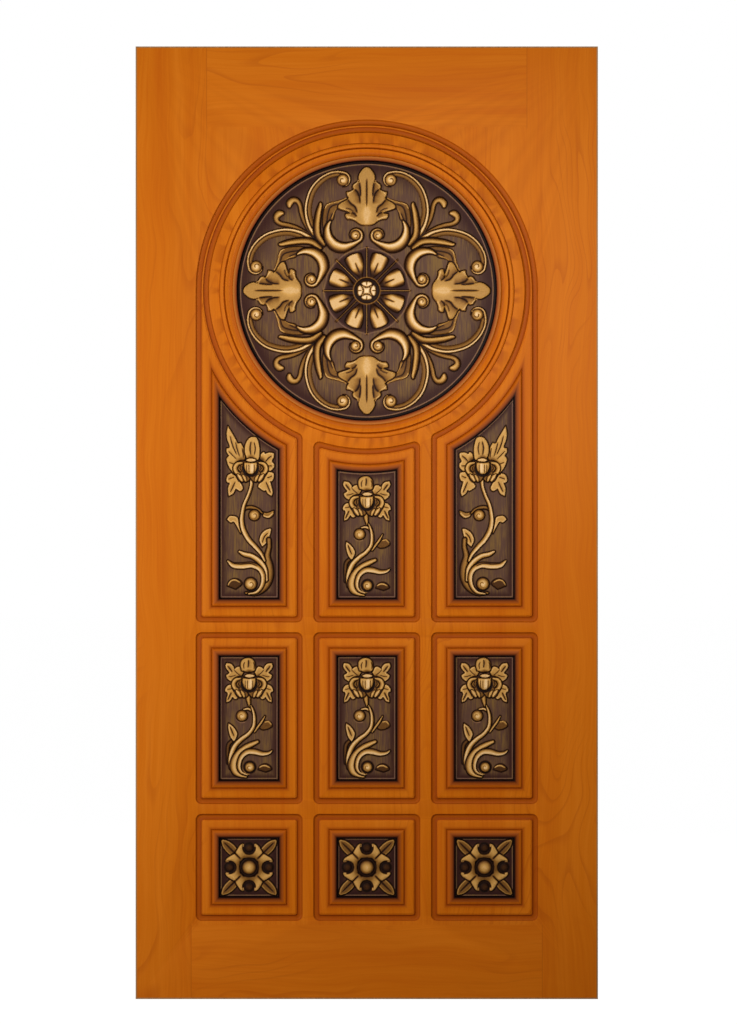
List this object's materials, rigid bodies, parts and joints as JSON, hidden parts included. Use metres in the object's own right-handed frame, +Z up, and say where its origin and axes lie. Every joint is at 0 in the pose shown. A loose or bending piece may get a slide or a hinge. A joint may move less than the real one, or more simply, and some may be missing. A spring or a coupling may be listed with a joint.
{
  "type": "carved door leaf",
  "caption": "Wood-grained door leaf with moulded panels, a round carved medallion in its upper half, and gilded flower and rosette plaques.",
  "frame": {"origin": "on the bottom edge, under the middle of the leaf's width and of its overall depth", "axes": "+Z up, +X along the width towards the lock edge, and +Y out of the plain back, so the carved face looks towards -Y"},
  "size_m": [0.99, 0.041, 2.04],
  "materials": {
    "face": "satin wood-grain film",
    "back": "satin wood-grain film",
    "edge": "satin",
    "inner_frame": "planed",
    "core": "board",
    "carving": "antique gold paint"
  },
  "bodies": {
    "root": {"front_skin": "face", "back_skin": "back", "hinge_edge_band": "edge", "lock_edge_band": "edge", "bottom_edge_band": "edge", "top_edge_band": "edge", "bottom_rail": "inner_frame", "lock_rail": "inner_frame", "top_rail": "inner_frame", "hinge_stile": "inner_frame", "lock_stile": "inner_frame", "lock_block": "inner_frame", "core_panel_upper": "core", "core_panel_lower": "core", "medallion_plaque": "carving", "flower_plaque_upper_left": "carving", "flower_plaque_upper_centre": "carving", "flower_plaque_upper_right": "carving", "flower_plaque_middle_left": "carving", "flower_plaque_middle_centre": "carving", "flower_plaque_middle_right": "carving", "rosette_plaque_left": "carving", "rosette_plaque_centre": "carving", "rosette_plaque_right": "carving"}
  },
  "joints": []
}
